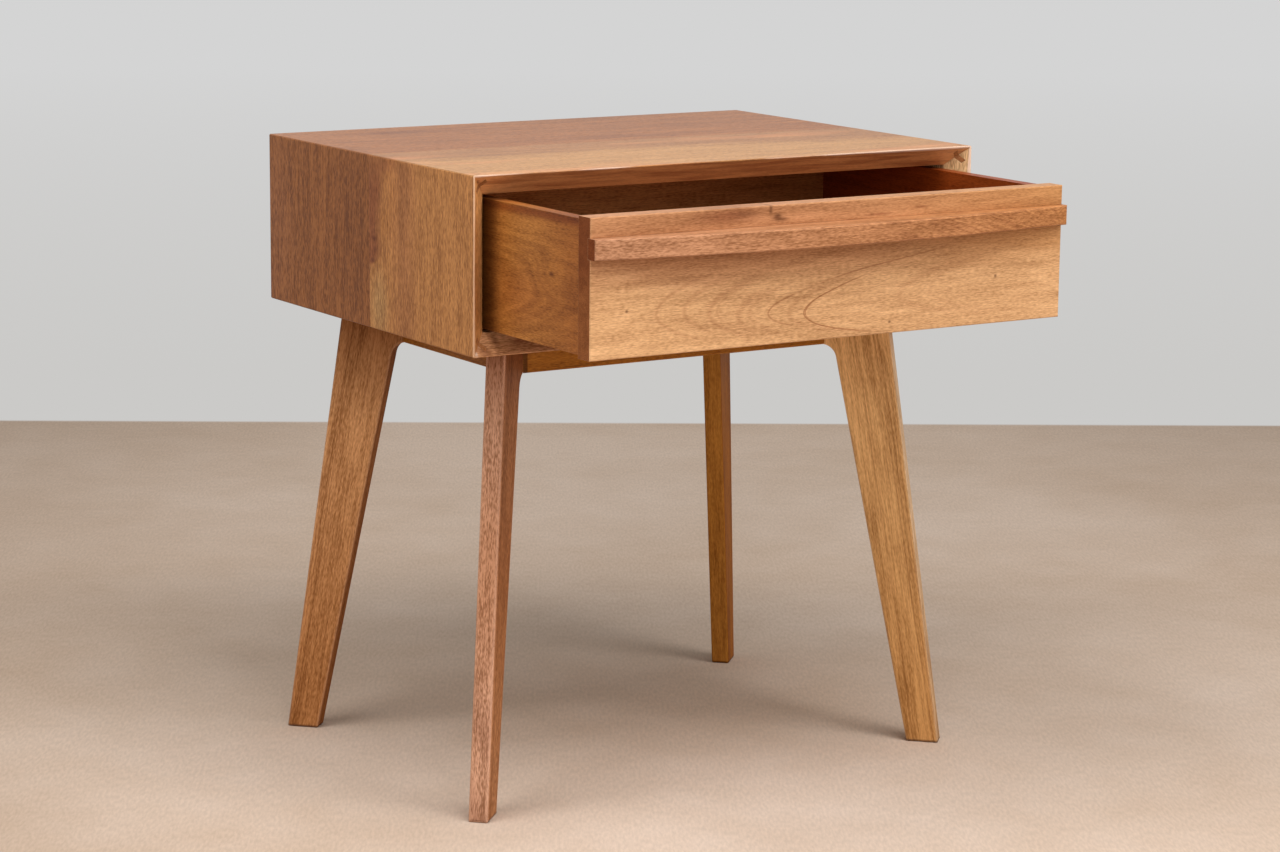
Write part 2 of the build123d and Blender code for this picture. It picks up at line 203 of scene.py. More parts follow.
def seen_directly(tree):
    """1 for rays from the camera, also by mirror or through glass, 0 for rays that only carry light."""
    ray = add(tree, "LightPath").outputs
    seen = add(tree, "Math", (ray["Is Camera Ray"], ray["Is Glossy Ray"]), operation="MAXIMUM")
    return add(tree, "Math", (seen, ray["Is Transmission Ray"]), operation="MAXIMUM")


cement = add(tree, "BsdfPrincipled", {"Base Color": beige, "Roughness": matt_roughness})
ground = add(tree, "BsdfPrincipled", {"Base Color": linear("d3d2cf"), "Roughness": matt_roughness})
for shader in (cement, ground):
    shader.inputs["Specular IOR Level"].default_value = matt_specular
far = add(tree, "MapRange", (from_middle, 2.2, 8, 0, 1))
far = add(tree, "Mix", {0: far, 6: linear("cbcac8"), 7: linear("d4d4d4")}, data_type="RGBA").outputs[2]
flat_grey = add(tree, "Emission", {"Color": far, "Strength": 1.0})
ground = add(tree, "MixShader", (seen_directly(tree), ground, flat_grey))
surface = add(tree, "MixShader", (outside, cement, ground))
add(tree, "OutputMaterial", (surface,))
floor.data.materials.append(floor_finish)
print("floor finish", floor_finish.name)

# %% [markdown]
# Light comes from large soft boxes, as in a daylight studio: one high in front, one
# high at the left, one lower at the right, and one far off near the floor, whose
# flat light reaches the legs below the drawer. Large lamps give the soft shadow
# below the table and the slow fall of light from the top to the sides.

# %% Soft boxes
lamp_target = Vector((0, case_middle, 0.3))


def soft_box(name, azimuth, elevation, distance, size, power):
    """A square lamp aimed at the case. Azimuth 0 is in front of the drawer, 90 to its right."""
    turn, lift = math.radians(azimuth), math.radians(elevation)
    away = Vector((math.sin(turn) * math.cos(lift), -math.cos(turn) * math.cos(lift), math.sin(lift)))
    lamp = bpy.data.lights.new(name, "AREA")
    lamp.size = size
    lamp.energy = power
    holder = bpy.data.objects.new(name, lamp)
    holder.location = lamp_target + distance * away
    holder.rotation_euler = away.to_track_quat("Z", "Y").to_euler()
    bpy.context.scene.collection.objects.link(holder)
    print(name, power, "W at", [round(c, 2) for c in holder.location])


soft_box("high_front_box", azimuth=0, elevation=60, distance=3.0, size=1.4, power=55)
soft_box("high_left_box", azimuth=-82, elevation=60, distance=3.0, size=1.4, power=41)
soft_box("right_box", azimuth=25, elevation=35, distance=3.0, size=1.4, power=28)
soft_box("low_front_box", azimuth=-33, elevation=10, distance=4.5, size=2.0, power=42)

# %% [markdown]
# The room is the world colour: a faint warm fill for the shadows. Seen directly or
# in a reflection it is a plain pale grey, like the ground, so the two meet unseen.
# The view transform Standard shows colours as they are written.

# %% Pale room
fill_strength = 0.25
room = bpy.data.worlds.new("pale_room")
room.use_nodes = True
bpy.context.scene.world = room
tree = room.node_tree
tree.nodes.clear()
fill = add(tree, "Background", {"Color": linear("f5eee0"), "Strength": fill_strength})
backdrop = add(tree, "Background", {"Color": linear("d4d4d4"), "Strength": 1.0})
both = add(tree, "MixShader", (seen_directly(tree), fill, backdrop))
add(tree, "OutputWorld", (both,))
bpy.context.scene.view_settings.view_transform = "Standard"
print("room fill", fill_strength)

# %% [markdown]
# Solid wood is a three-dimensional stuff, so its pattern is made in space and the
# faces only cut through it: long grain, end grain and bevels then agree by
# themselves. A picture of wood wrapped round each board would show the same grain
# on its face and its end. Each board gets its own measure in millimetres, x along
# the grain, y across the board and z out of its face. A Mapping node of the kind
# Texture moves and turns the object's coordinates to it.

# %% The measure of a board
def grain(origin, along, across):
    """Origin in metres, turn and direction of a board's own measure."""
    x = Vector(along).normalized()
    y = Vector(across)
    y = (y - y.dot(x) * x).normalized()
    turn = Matrix((x, y, x.cross(y))).transposed().to_euler()
    return Vector(origin), turn, x


print("grain along x turns by", grain((0, 0, 0), (1, 0, 0), (0, 0, 1))[1])

# %% [markdown]
# Most of what the eye takes for wood is uneven colour at many sizes at once. Noise
# whose lumps have a real size in millimetres, long with the grain and short across
# it, gives that: each octave of detail adds lumps of half the size.

# %% Noise of a real size
def lumps(tree, point, size, detail=1, roughness=0.5):
    """Noise with lumps of the given size in millimetres: along, across and through."""
    scaled = add(tree, "VectorMath", (point, tuple(1 / s for s in size)), operation="MULTIPLY")
    inputs = {"Vector": scaled, "Scale": 1, "Detail": detail, "Roughness": roughness}
    return add(tree, "TexNoise", inputs).outputs["Fac"]


# %% [markdown]
# A knot, a swirl or a stain sits at one place on a board. An oval patch that is one
# at its middle and fades to nothing at its rim gives each of them. The patch goes
# through the thickness of the board, as the branch that left the knot did.

# %% Patches and stains
def patch(tree, point, centre, size):
    """1 in the middle of an oval and 0 at its rim: centre and half sizes in millimetres."""
    inside = add(tree, "Mapping", {"Vector": point, "Location": (*centre, 0), "Scale": (*size, 60)},
                 vector_type="TEXTURE")
    reach = add(tree, "VectorMath", (inside,), operation="LENGTH").outputs["Value"]
    return add(tree, "MapRange", (reach, 0, 1, 1, 0), interpolation_type="SMOOTHSTEP").outputs["Result"]


def stain(tree, colour, place, strength, shade):
    """Multiply a colour by a shade, as strongly as a value from 0 to 1 says at each place.

    The shade is a hex colour or, where the wood is paler, three factors above one."""
    shade = linear(shade) if isinstance(shade, str) else [*shade, 1]
    amount = add(tree, "Math", (place, strength), operation="MULTIPLY", use_clamp=True)
    mixed = add(tree, "Mix", {0: amount, 6: colour, 7: shade}, data_type="RGBA", blend_type="MULTIPLY")
    return mixed.outputs[2]


# %% [markdown]
# Growth rings are rounds about the pith, which lies somewhere below the board and
# slightly out of line with it. The radius from the pith, in millimetres, is what
# both the broad bands and the thin dark late-wood lines are drawn from. Where the
# face runs along the rings they open into tall arches, and where it cuts across
# them they are straight stripes. A slow noise bends the grain by some millimetres,
# and a swell lifts the radius round a knot, so the rings flow round it.

# %% Growth rings
drift_mm = (260, 55, 55)


def ring_radius(tree, point, pith, lean, warp, swells):
    """Radius from the pith in millimetres, and the point with the slow drift of the grain."""
    slow = add(tree, "VectorMath", (point, tuple(1 / s for s in drift_mm)), operation="MULTIPLY")
    drift = add(tree, "TexNoise", {"Vector": slow, "Scale": 1, "Detail": 3}).outputs["Color"]
    drift = add(tree, "VectorMath", (drift, (0.5, 0.5, 0.5)), operation="SUBTRACT")
    bent = add(tree, "VectorMath", (drift, (0, warp, warp), point), operation="MULTIPLY_ADD")
    turned = add(tree, "Mapping", {"Vector": bent, "Location": (0, -pith[0], -pith[1]),
                                   "Rotation": (0, lean[1], lean[0])})
    flat = add(tree, "VectorMath", (turned, (0, 1, 1)), operation="MULTIPLY")
    radius = add(tree, "VectorMath", (flat,), operation="LENGTH").outputs["Value"]
    for centre, size, rise in swells:
        radius = add(tree, "Math", (patch(tree, point, centre, size), rise, radius), operation="MULTIPLY_ADD")
    return radius, bent


def ring_line(tree, radius, at, width):
    """1 on a thin line that follows one growth ring."""
    off = add(tree, "Math", (radius, at), operation="SUBTRACT")
    off = add(tree, "Math", (off,), operation="ABSOLUTE")
    return add(tree, "MapRange", (off, 0, width, 1, 0)).outputs["Result"]


# %% [markdown]
# Some late-wood lines stand out one by one, as thin as a pencil line. Where the
# face nearly follows the rings, such a line is an arch lying on its side. A curve
# of the second degree draws it. Its distance is divided by its slope, so the line
# keeps one width from its apex to the ends of its branches.

# %% Arched lines
def arch_line(tree, point, apex, spread, tilt, width):
    """1 on a thin arch that opens along the grain: apex, spread and width in millimetres."""
    parts = add(tree, "SeparateXYZ", (point,)).outputs
    ahead = add(tree, "Math", (parts[0], apex[0]), operation="SUBTRACT")
    across = add(tree, "Math", (parts[1], apex[1]), operation="SUBTRACT")
    across = add(tree, "Math", (ahead, -tilt, across), operation="MULTIPLY_ADD")
    square = add(tree, "Math", (across, across), operation="MULTIPLY")
    off = add(tree, "Math", (square, -1 / spread, ahead), operation="MULTIPLY_ADD")
    slope = add(tree, "Math", (square, 4 / spread ** 2, 1), operation="MULTIPLY_ADD")
    slope = add(tree, "Math", (slope,), operation="SQRT")
    off = add(tree, "Math", (off, slope), operation="DIVIDE")
    off = add(tree, "Math", (off,), operation="ABSOLUTE")
    return add(tree, "MapRange", (off, 0, width, 1, 0), interpolation_type="SMOOTHSTEP").outputs["Result"]


# %% [markdown]
# The table is of a mahogany-like hardwood with a hand-rubbed oil finish. Its figure
# builds up in layers: slow bands along the rings, streaks along the grain, a fine
# mottle, thin fibres and short flecks. Each layer is noise round a middle of 0.5,
# weighed and added, and a Color Ramp turns the sum to a colour between a darker and
# a paler tone of the board. Open pores are laid over it. Real pores are a third of a
# millimetre wide, too fine to show, so they are drawn about three times as wide.

# %% Figure of the wood
streak_mm = (260, 14, 14)
mottle_mm = (70, 9, 9)
fibre_mm = (48, 1.7, 1.7)
fleck_mm = (5, 1.0, 1.0)
pore_mm = (11, 0.9, 0.9)
band_length_mm = 500
darker = (0.62, 0.55, 0.48)
brighter = (1.32, 1.40, 1.50)
pore_shade = "8a6048"


def toned(colour, factors):
    """A linear colour with each channel times a factor."""
    return [c * f for c, f in zip(colour, factors)] + [1]


def figure(tree, point, bent, radius, middle, band, weights, pores):
    """Colour of plain oiled wood, with its pores and its flecks as places from 0 to 1."""
    along = add(tree, "SeparateXYZ", (bent,)).outputs[0]
    along = add(tree, "Math", (along, 1 / band_length_mm), operation="MULTIPLY")
    outward = add(tree, "Math", (radius, 1 / band), operation="MULTIPLY")
    ring_place = add(tree, "CombineXYZ", (along, outward, 0))
    ring = add(tree, "TexNoise", {"Vector": ring_place, "Scale": 1, "Detail": 4, "Roughness": 0.65})
    flecks = lumps(tree, point, fleck_mm)
    layers = (ring.outputs["Fac"], lumps(tree, bent, streak_mm, 4, 0.75),
              lumps(tree, bent, mottle_mm, 4, 0.7), lumps(tree, bent, fibre_mm, 1), flecks)
    level = 0.5
    for layer, weight in zip(layers, weights):
        centred = add(tree, "Math", (layer, 0.5), operation="SUBTRACT")
        level = add(tree, "Math", (centred, weight, level), operation="MULTIPLY_ADD")
    ramp = add(tree, "ValToRGB", (level,))
    steps = ramp.color_ramp.elements
    steps[0].position, steps[1].position = 0.15, 0.85
    steps[0].color = toned(middle, darker)
    steps[1].color = toned(middle, brighter)
    steps.new(0.5).color = middle
    pore = add(tree, "MapRange", (lumps(tree, point, pore_mm), 0.60, 0.72, 0, 1)).outputs["Result"]
    return stain(tree, ramp.outputs["Color"], pore, pores, pore_shade), pore, flecks


print("streaks", streak_mm, "pores", pore_mm, "mm")

# %% [markdown]
# End grain drinks more oil and is darker. It is where the face looks along the
# grain, so the dot product of the two directions finds it. Edges are eased with
# sandpaper, and a paler colour is painted along them: partly the wear of hands and
# partly a painted highlight, the light that a rounded edge catches. A Bevel node
# finds those edges without a change of the shape: where its rounded normal turns
# away from the normal of the face, an edge is near.

# %% End grain and edges
# paler edges are partly wear and partly a painted highlight
worn_and_highlit = (1.45, 1.55, 1.7)


def end_grain(tree, normal, direction):
    """1 on faces that cut across the grain."""
    facing = add(tree, "VectorMath", (normal, direction), operation="DOT_PRODUCT").outputs["Value"]
    facing = add(tree, "Math", (facing,), operation="ABSOLUTE")
    return add(tree, "MapRange", (facing, 0.75, 0.97, 0, 1)).outputs["Result"]


def wear_and_highlight_edges(tree, colour, normal, eased, middle, edge_wear_and_highlight):
    """A paler colour where the eased normal leaves the face's normal: wear and a painted highlight."""
    rounding = add(tree, "VectorMath", (eased, normal), operation="DOT_PRODUCT").outputs["Value"]
    painted_light = add(tree, "MapRange", (rounding, 0.99, 0.84, 0, edge_wear_and_highlight)).outputs["Result"]
    return add(tree, "Mix", {0: painted_light, 6: colour, 7: toned(middle, worn_and_highlit)}, data_type="RGBA").outputs[2]


print("edges are rubbed to", worn_and_highlit, "times the tone of the wood")

# %% [markdown]
# One function puts the wood together, because every board differs only in numbers.
# Oil soaks in, deepens the colour and leaves a low satin sheen with no film, so the
# pores stay open: they are rougher than the face and dip a little in its bump. The
# marks of one board are a function of its own, called with the same four values.

# %% Solid timber
relief_depth = 0.12 * MM
pore_roughness = 0.18
end_roughness = 0.3


def timber(name, nodes, place, tone, pith, lean=(0, 0), warp=16, swells=(), band=9, bands=0.4,
           streak=0.9, mottle=0.7, fibre=0.6, fleck=1.1, pores=0.3, end_shade="a58468", edge_wear_and_highlight=0.35, ease=0.9,
           marks=None, rough=0.38, ior=1.22):
    """Oiled solid wood of one middle tone on some CAD nodes. Lengths in millimetres."""
    material, tree = new_material(name)
    origin, turn, direction = place
    middle = linear(tone)
    normal = add(tree, "TexCoord").outputs["Normal"]
    point = add(tree, "Mapping", {"Vector": add(tree, "TexCoord").outputs["Object"], "Location": origin,
                                  "Rotation": turn, "Scale": (MM, MM, MM)}, vector_type="TEXTURE")
    radius, bent = ring_radius(tree, point, pith, lean, warp, swells)
    weights = (bands, streak, mottle, fibre, fleck)
    colour, pore, flecks = figure(tree, point, bent, radius, middle, band, weights, pores)
    if marks:
        colour = marks(tree, bent, radius, colour)
    end = end_grain(tree, normal, direction)
    colour = stain(tree, colour, end, 1.0, end_shade)
    eased = add(tree, "Bevel", {"Radius": ease * MM}, samples=4).outputs["Normal"]
    # paler edges: partly wear, partly a painted highlight
    if edge_wear_and_highlight:
        colour = wear_and_highlight_edges(tree, colour, normal, eased, middle, edge_wear_and_highlight)

    relief = add(tree, "Math", (pore, -1.0, flecks), operation="MULTIPLY_ADD")
    bump = add(tree, "Bump", {"Strength": 0.25, "Distance": relief_depth, "Height": relief, "Normal": eased})
    roughness = add(tree, "Math", (pore, pore_roughness, rough), operation="MULTIPLY_ADD")
    roughness = add(tree, "Math", (end, end_roughness, roughness), operation="MULTIPLY_ADD")
    surface = add(tree, "BsdfPrincipled", {"Base Color": colour, "Roughness": roughness, "Normal": bump})
    surface.inputs["IOR"].default_value = ior
    add(tree, "OutputMaterial", (surface,))
    for node in nodes:
        dress(node, material)


def dress(node, material):
    """Give a CAD node one material."""
    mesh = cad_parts[node].data
    mesh.materials.clear()
    mesh.materials.append(material)


print("relief of the grain", relief_depth / MM, "mm")

# %% [markdown]
# The case is four pairs of boards edge-glued side by side and mitred at the
# corners. The maker ran the boards round the case in one strip, so the grain turns
# each corner without a break, as water runs over an edge. The measures below do the
# same: x is counted along one strip that starts at the top left corner, minus down
# the left side and plus over the top.

# %% The strip round the case
length = (case_right - case_left) / MM
height = (case_top - case_bottom) / MM
strip = {
    "top": grain((case_left, case_middle, case_top), (1, 0, 0), (0, 1, 0)),
    "left": grain((case_left, case_middle, case_top), (0, 0, 1), (0, 1, 0)),
    "right": grain((case_right, case_middle, case_top + length * MM), (0, 0, -1), (0, 1, 0)),
    "bottom": grain((case_right + (length + height) * MM, case_middle, case_bottom), (-1, 0, 0), (0, 1, 0)),
}
seam_y = (seam - case_middle) / MM
front_y = (case_front - case_middle) / MM
print("strip of", round(2 * (length + height)), "mm, seam at", round(seam_y, 1))

# %% [markdown]
# The front boards are honey-coloured sapwood side out, but near the seam they hold a
# band of redder heartwood with a soft, wandering edge. Across the top the band
# widens to the right. Down the left side it ends in a bulge with small dark spots,
# and the lowest part of the side meets the rear board in a plain glue line. A Float
# Curve draws that edge: place along the strip in, place across it out. A second,
# fainter edge further forward is the halo, where sapwood turns slowly to heartwood.

# %% Heartwood edge
heart_edge = ((-162, 6), (-107, 4), (-100, -12), (-92, -22), (-80, -24), (-70, -22), (-58, -24), (-20, -36),
              (0, -60), (60, -76), (215, -80), (350, -86), (550, -104), (712, -60))
halo_edge = ((-162, 45), (-120, 20), (-95, -45), (-60, -74), (0, -96), (215, -98), (350, -104),
             (550, -140), (712, -100))
curve_low, curve_high = -150, 50
wander_mm, streaky_mm = 16, 14
fade_start, fade_least = 7, 14


def heartwood(tree, point, boundary, softness):
    """1 behind the wandering edge of the heartwood, 0 in front of it.

    Softness is how wide the edge is, in millimetres, on the side and on the top."""
    parts = add(tree, "SeparateXYZ", (point,)).outputs
    start, stop = boundary[0][0], boundary[-1][0]
    along = add(tree, "MapRange", (parts[0], start, stop, 0, 1))
    edge = add(tree, "FloatCurve", {"Value": along})
    heights = [(y - curve_low) / (curve_high - curve_low) for x, y in boundary]
    drawn = edge.mapping.curves[0].points
    for (x, _), height in list(zip(boundary, heights))[1:-1]:
        drawn.new((x - start) / (stop - start), height)
    drawn[0].location[1] = heights[0]
    drawn[-1].location[1] = heights[-1]
    edge.mapping.update()
    edge = add(tree, "MapRange", (edge, 0, 1, curve_low, curve_high))
    behind = add(tree, "Math", (parts[1], edge), operation="SUBTRACT")
    for size, swing in (((45, 20, 20), wander_mm), ((90, 4, 4), streaky_mm)):
        behind = add(tree, "Math", (lumps(tree, point, size, 2), swing, behind), operation="MULTIPLY_ADD")
    widened = add(tree, "MapRange", (parts[0], -80, 60, *softness)).outputs["Result"]
    reach = add(tree, "Math", (widened, fade_least), operation="ADD")
    heart = add(tree, "MapRange", (behind, fade_start, reach), interpolation_type="SMOOTHSTEP")
    return heart.outputs["Result"]


print("heartwood edge drawn through", len(heart_edge), "points, halo through", len(halo_edge))

# %% [markdown]
# Marks that belong to one place are laid over the timber one by one, each as a
# multiply with a shade, since stain and resin darken wood and never hide it. Places
# are in the measure of the strip, so a mark at x = -81 is 81 mm down the left side.
# The front boards have the heartwood and its halo, a darker stripe on the left
# side, a duller end of the top, one golden spot and some thin streaks and specks.

# %% Marks of the front boards' faces
streak_shade = "8f5f48"
front_streaks = (
    ((110, -63), (112, 3), 0.4), ((197, -65), (13, 4), 0.4), ((482, -70), (62, 3), 0.4),
    ((447, -100), (26, 12), 0.25), ((-77, -15), (4, 8), 0.6), ((-87, -18), (5, 6), 0.5),
    ((-98, -11), (4, 7), 0.6),
)


def face_marks(tree, point, along, on_left, colour):
    """Heartwood band and halo, darker stripe, duller end, golden spot, streaks and specks."""
    heart = heartwood(tree, point, heart_edge, (8, 26))
    strength = add(tree, "MapRange", (along, -30, 10, 0.95, 0.42)).outputs["Result"]
    colour = stain(tree, colour, heart, strength, "cdb5b8")
    halo = heartwood(tree, point, halo_edge, (50, 50))
    colour = stain(tree, colour, halo, 1.0, "f3eeea")
    stripe = patch(tree, point, (-81, -73), (400, 36))
    stripe = add(tree, "Math", (stripe, on_left), operation="MULTIPLY")
    colour = stain(tree, colour, stripe, 1.0, "ebe4eb")
    upward = add(tree, "SeparateXYZ", (add(tree, "TexCoord").outputs["Normal"],)).outputs[2]
    upward = add(tree, "MapRange", (upward, 0.8, 0.95, 0, 1)).outputs["Result"]
    duller_end = patch(tree, point, (550, -190), (150, 80))
    duller_end = add(tree, "Math", (duller_end, upward), operation="MULTIPLY")
    colour = stain(tree, colour, duller_end, 0.45, "d0c6c0")
    colour = stain(tree, colour, patch(tree, point, (-140, -24), (52, 26)), 1.0, (1.04, 1.3, 1.6))
    for centre, size, depth in front_streaks:
        colour = stain(tree, colour, patch(tree, point, centre, size), depth, streak_shade)
    return colour


print("front boards have", len(front_streaks), "streaks and specks")

# %% [markdown]
# The bevel inside the opening was planed off after the boards were glued, so it cuts
# deeper into the wood. Over the drawer it is redder, with dark grain, and it shows
# the blots and the pale filler round the ends of the splines. On the left side it is
# paler. Where the bevel is, z is well below the face of the board.

# %% Marks of the bevel
blots = (
    ((1246, -196), (9, 5), "8a5c4c"), ((1232, -190), (5, 9), "7a5040"), ((1208, -192), (16, 4), "9a6a58"),
    ((6, -197), (3, 3), "4a2a1c"), ((11, -191), (3, 3), "5a3626"), ((542, -194), (4, 5), "6a5236"),
)
fillers = ((1257, -197), (1251, -191))


def bevel_marks(tree, point, along, depth, on_left, colour):
    """Paler on the left side, redder over the drawer, dark grain, blots and filler."""
    inside = add(tree, "MapRange", (depth, -1, -4, 0, 1)).outputs["Result"]
    left_bevel = add(tree, "Math", (inside, on_left), operation="MULTIPLY")
    colour = stain(tree, colour, left_bevel, 1.0, (1.32, 1.34, 1.42))
    for end, past in ((0, 1), (length, length - 1)):
        on_top = add(tree, "MapRange", (along, end, past, 0, 1)).outputs["Result"]
        inside = add(tree, "Math", (inside, on_top), operation="MULTIPLY")
    redder = add(tree, "Math", (inside, 0.5), operation="MULTIPLY")
    colour = add(tree, "Mix", {0: redder, 6: colour, 7: linear("f1a167")}, data_type="RGBA").outputs[2]
    dark_grain = add(tree, "MapRange", (lumps(tree, point, (70, 5, 5), 3), 0.42, 0.66, 0, 1))
    dark_grain = add(tree, "Math", (dark_grain, inside), operation="MULTIPLY")
    colour = stain(tree, colour, dark_grain, 0.6, "a87a66")
    for centre, size, shade in blots:
        colour = stain(tree, colour, patch(tree, point, centre, size), 0.6, shade)
    for centre in fillers:
        filled = patch(tree, point, centre, (3, 3))
        colour = add(tree, "Mix", {0: filled, 6: colour, 7: linear("e4c8b0")}, data_type="RGBA").outputs[2]
    return colour


print("bevel has", len(blots), "blots and", len(fillers), "filled places")

# %% [markdown]
# The sharp front edge, the arris, is painted as a pale line less than a millimetre
# wide: a painted highlight, the light that the sanded edge catches. A range on the
# place across the board draws it. All the marks of the front boards are then
# gathered in one function, and the plainer rear boards get theirs.

# %% All marks of the case boards
arris_highlight_mm = 0.7
smoky = (((345, 12), (11, 7), 0.5), ((285, 32), (95, 20), 0.3), ((120, 157), (85, 22), 0.28),
         ((60, 95), (90, 10), 0.2))


def front_marks(tree, point, radius, colour):
    """Marks of the face and of the bevel, and a painted highlight on the front arris."""
    along, across, depth = add(tree, "SeparateXYZ", (point,)).outputs
    on_left = add(tree, "MapRange", (along, -6, 6, 1, 0)).outputs["Result"]
    colour = face_marks(tree, point, along, on_left, colour)
    colour = bevel_marks(tree, point, along, depth, on_left, colour)
    # painted highlight: a pale line along the front arris
    sharp = front_y + 0.3
    arris_highlight = add(tree, "MapRange", (across, sharp, sharp + arris_highlight_mm, 0.85, 0)).outputs["Result"]
    kept = add(tree, "MapRange", (on_left, 0, 1, 1, 0.8)).outputs["Result"]
    arris_highlight = add(tree, "Math", (arris_highlight, kept), operation="MULTIPLY")
    highlight_tint = add(tree, "Mix", {0: on_left, 6: linear("f6d4bc"), 7: linear("f2c8a4")}, data_type="RGBA")
    return add(tree, "Mix", {0: arris_highlight, 6: colour, 7: highlight_tint.outputs[2]}, data_type="RGBA").outputs[2]


def rear_marks(tree, point, radius, colour):
    """Smoky places beside the seam, a yellower rear and a greyer place on the left side."""
    for centre, size, depth in smoky:
        colour = stain(tree, colour, patch(tree, point, centre, size), depth, "94604c")
    colour = stain(tree, colour, patch(tree, point, (-80, 205), (150, 80)), 1.0, (1.04, 1.08, 1.4))
    return stain(tree, colour, patch(tree, point, (-80, 25), (140, 60)), 0.6, "e2dad4")


print("arris_highlight", arris_highlight_mm, "mm wide, rear boards with", len(smoky), "smoky places")

# %% [markdown]
# Now each side of the case gets its two boards. They share one measure and one set
# of marks, so only the middle tones differ. The top was rubbed to more sheen than
# the sides, which in Blender is a higher IOR: it mirrors more at a low angle.

# %% Case boards
front_tones = {"top": "b3814e", "left": "b77d47", "right": "d3a979", "bottom": "bc855b"}
rear_tones = {"top": "955b2d", "left": "91592d", "right": "8d5324", "bottom": "8a5030"}
swirl = (((-122, -24), (22, 30), 9), ((-84, -30), (30, 26), 6))
rubbed_ior, plain_ior = 1.42, 1.25
for side, place in strip.items():
    ior = rubbed_ior if side == "top" else plain_ior
    timber(f"oiled_mahogany_{side}_front", [f"{side}_board_front"], place, front_tones[side], (-60, -150),
           lean=(0.02, 0.05), swells=swirl, streak=0.75, mottle=0.55, fleck=1.6, edge_wear_and_highlight=0, ior=ior,
           marks=front_marks)
    timber(f"oiled_mahogany_{side}_rear", [f"{side}_board_rear"], place, rear_tones[side], (170, -110),
           lean=(0.03, 0.05), streak=1.25, mottle=1.0, fibre=0.9, fleck=2.3, edge_wear_and_highlight=0, ior=ior,
           marks=rear_marks)
print("dressed", 2 * len(strip), "case boards")

# %% [markdown]
# Each leg is sawn from a board with straight grain that follows the leg down. The
# growth rings stand on edge in it, so the wide faces show straight lines and the
# narrow faces show open pores as short flecks. No two legs come from the same
# board: each has its own middle tone. They are darker towards the foot. Shade is
# painted on them as well: a painted shade on the wide faces and on one inner edge,
# a painted shadow close under the case and a thin painted contact shadow where they
# stand. They are more rounded at the edges than the case, with paler edges that are
# partly wear and partly a painted highlight. Legs are rubbed less often than a top,
# so their sheen is low.

# %% Legs
# Besides tone and flecks, each leg sets how strong its painted shadow under the case is and where it starts,
# its painted shade on the inner edge, and its paler edges, partly wear and partly a painted highlight.
leg_wood = {
    "front_left": dict(corner=(-1, -1), tone="bc8c6f", fleck=2.0, deeper_foot=0, shaded=0.9, shade_from=375,
                       ruddy=0.9, edge_wear_and_highlight=2.0, inner_edge_painted_shade=0, ior=1.12),
    "front_right": dict(corner=(1, -1), tone="dfbd98", fleck=0.8, deeper_foot=1, shaded=0, shade_from=320,
                        ruddy=0, edge_wear_and_highlight=0.25, inner_edge_painted_shade=0, ior=1.06),
    "back_left": dict(corner=(-1, 1), tone="d0a688", fleck=1.2, deeper_foot=1, shaded=0.9, shade_from=320,
                      ruddy=0, edge_wear_and_highlight=0.3, inner_edge_painted_shade=1, ior=1.05),
    "back_right": dict(corner=(1, 1), tone="a76e2e", fleck=0.9, deeper_foot=0.5, shaded=0.5, shade_from=320,
                       ruddy=0, edge_wear_and_highlight=0.3, inner_edge_painted_shade=0, ior=1.12),
}
grain_lean = 0.17
leg_top_mm = 435
late_wood = ((205.5, 0.3), (209, 0.35), (213.5, 0.3), (219, 0.15), (232, 0.2))


